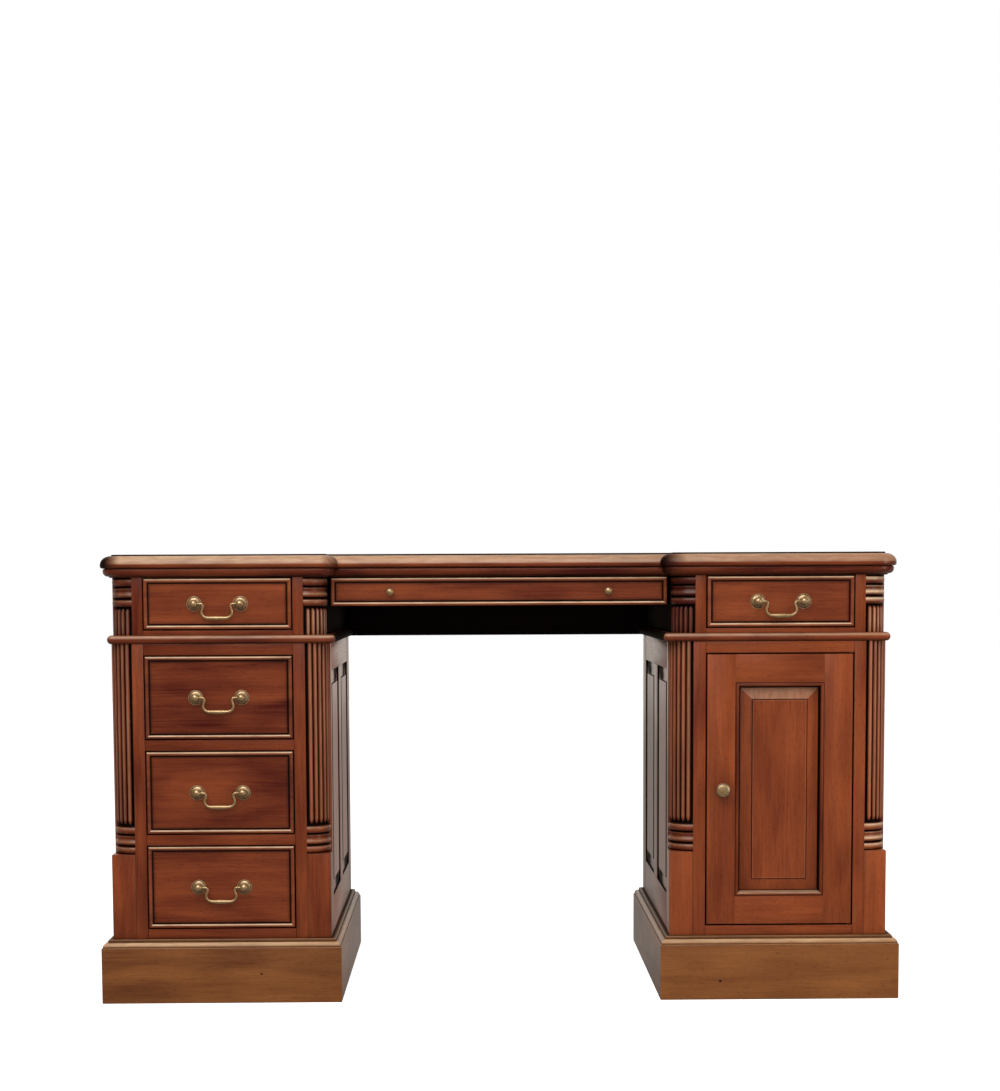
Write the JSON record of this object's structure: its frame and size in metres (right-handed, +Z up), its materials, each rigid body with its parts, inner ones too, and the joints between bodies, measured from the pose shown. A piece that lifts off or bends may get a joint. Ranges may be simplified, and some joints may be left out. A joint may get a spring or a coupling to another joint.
{
  "type": "pedestal desk",
  "caption": "Breakfront pedestal desk with a kneehole, frieze and pedestal drawers, a panelled cupboard door, reeded corner columns and bail handles.",
  "frame": {"origin": "on the floor, at the middle of the whole desk in plan", "axes": "+Z up, -Y towards the sitter (the drawer side), +X to the sitter's right"},
  "size_m": [1.4, 0.606, 0.785],
  "materials": {
    "mahogany": "satin lacquer over a red-brown stain",
    "plinth_mahogany": "satin lacquer over a yellow-brown stain",
    "drawer_lining": "bare, lightly sealed",
    "antique_brass": "antiqued, rubbed on the high places",
    "catch_plastic": "matt brown"
  },
  "bodies": {
    "desk_frame": {"top_board": "mahogany", "top_lower_board": "mahogany", "left_pedestal_posts": "mahogany", "frieze_posts": "mahogany", "right_pedestal_posts": "mahogany", "right_pedestal_outer_side": "mahogany", "left_pedestal_outer_side": "mahogany", "right_pedestal_inner_side": "mahogany", "left_pedestal_inner_side": "mahogany", "right_pedestal_back": "mahogany", "left_pedestal_back": "mahogany", "right_pedestal_panels": "mahogany", "left_pedestal_panels": "mahogany", "right_plinth": "plinth_mahogany", "left_plinth": "plinth_mahogany", "right_waist_board": "mahogany", "left_waist_board": "mahogany", "left_face_frame": "mahogany", "frieze_face_frames": "mahogany", "left_bottom_board": "mahogany", "frieze_outer_sides": "mahogany", "frieze_dividers": "mahogany", "frieze_back_boards": "mahogany", "right_face_frame": "mahogany", "right_bottom_board": "mahogany", "kneehole_back_rail": "mahogany", "frieze_drawer_guides": "drawer_lining", "left_drawer_guides": "drawer_lining", "centre_drawer_runners": "drawer_lining", "door_pivots": "antique_brass", "cupboard_shelf": "mahogany", "shelf_cleats": "drawer_lining", "door_catch": "catch_plastic"},
    "left_frieze_drawer": {"left_frieze_drawer_front": "mahogany", "left_frieze_drawer_box": "drawer_lining", "left_frieze_drawer_handle_posts": "antique_brass"},
    "left_frieze_bail": {"left_frieze_drawer_bail": "antique_brass"},
    "right_frieze_drawer": {"right_frieze_drawer_front": "mahogany", "right_frieze_drawer_box": "drawer_lining", "right_frieze_drawer_handle_posts": "antique_brass"},
    "right_frieze_bail": {"right_frieze_drawer_bail": "antique_brass"},
    "lower_drawer": {"lower_drawer_front": "mahogany", "lower_drawer_box": "drawer_lining", "lower_drawer_handle_posts": "antique_brass"},
    "lower_bail": {"lower_drawer_bail": "antique_brass"},
    "middle_drawer": {"middle_drawer_front": "mahogany", "middle_drawer_box": "drawer_lining", "middle_drawer_handle_posts": "antique_brass"},
    "middle_bail": {"middle_drawer_bail": "antique_brass"},
    "upper_drawer": {"upper_drawer_front": "mahogany", "upper_drawer_box": "drawer_lining", "upper_drawer_handle_posts": "antique_brass"},
    "upper_bail": {"upper_drawer_bail": "antique_brass"},
    "centre_drawer": {"centre_drawer_front": "mahogany", "centre_drawer_box": "drawer_lining", "centre_drawer_knobs": "antique_brass"},
    "door": {"door_frame": "mahogany", "door_panel": "mahogany", "door_moulding": "mahogany", "door_knob": "antique_brass"}
  },
  "joints": [
    {"name": "left_frieze_drawer_slide", "type": "slide", "parent": "desk_frame", "child": "left_frieze_drawer", "axis": [0, -1, 0], "range_m": [0, 0.36]},
    {"name": "right_frieze_drawer_slide", "type": "slide", "parent": "desk_frame", "child": "right_frieze_drawer", "axis": [0, -1, 0], "range_m": [0, 0.36]},
    {"name": "lower_drawer_slide", "type": "slide", "parent": "desk_frame", "child": "lower_drawer", "axis": [0, -1, 0], "range_m": [0, 0.36]},
    {"name": "middle_drawer_slide", "type": "slide", "parent": "desk_frame", "child": "middle_drawer", "axis": [0, -1, 0], "range_m": [0, 0.36]},
    {"name": "upper_drawer_slide", "type": "slide", "parent": "desk_frame", "child": "upper_drawer", "axis": [0, -1, 0], "range_m": [0, 0.36]},
    {"name": "centre_drawer_slide", "type": "slide", "parent": "desk_frame", "child": "centre_drawer", "axis": [0, -1, 0], "range_m": [0, 0.3]},
    {"name": "left_frieze_bail_lift", "type": "hinge", "parent": "left_frieze_drawer", "child": "left_frieze_bail", "pos_m": [-0.49, -0.289, 0.69925], "axis": [-1, 0, 0], "range_deg": [0, 90]},
    {"name": "right_frieze_bail_lift", "type": "hinge", "parent": "right_frieze_drawer", "child": "right_frieze_bail", "pos_m": [0.49, -0.289, 0.69925], "axis": [-1, 0, 0], "range_deg": [0, 90]},
    {"name": "lower_bail_lift", "type": "hinge", "parent": "lower_drawer", "child": "lower_bail", "pos_m": [-0.49, -0.289, 0.20325], "axis": [-1, 0, 0], "range_deg": [0, 90]},
    {"name": "middle_bail_lift", "type": "hinge", "parent": "middle_drawer", "child": "middle_bail", "pos_m": [-0.49, -0.289, 0.36975], "axis": [-1, 0, 0], "range_deg": [0, 90]},
    {"name": "upper_bail_lift", "type": "hinge", "parent": "upper_drawer", "child": "upper_bail", "pos_m": [-0.49, -0.289, 0.53625], "axis": [-1, 0, 0], "range_deg": [0, 90]},
    {"name": "door_hinge", "type": "hinge", "parent": "desk_frame", "child": "door", "pos_m": [0.6135, -0.274, 0.36975], "axis": [0, 0, 1], "range_deg": [0, 100]}
  ]
}
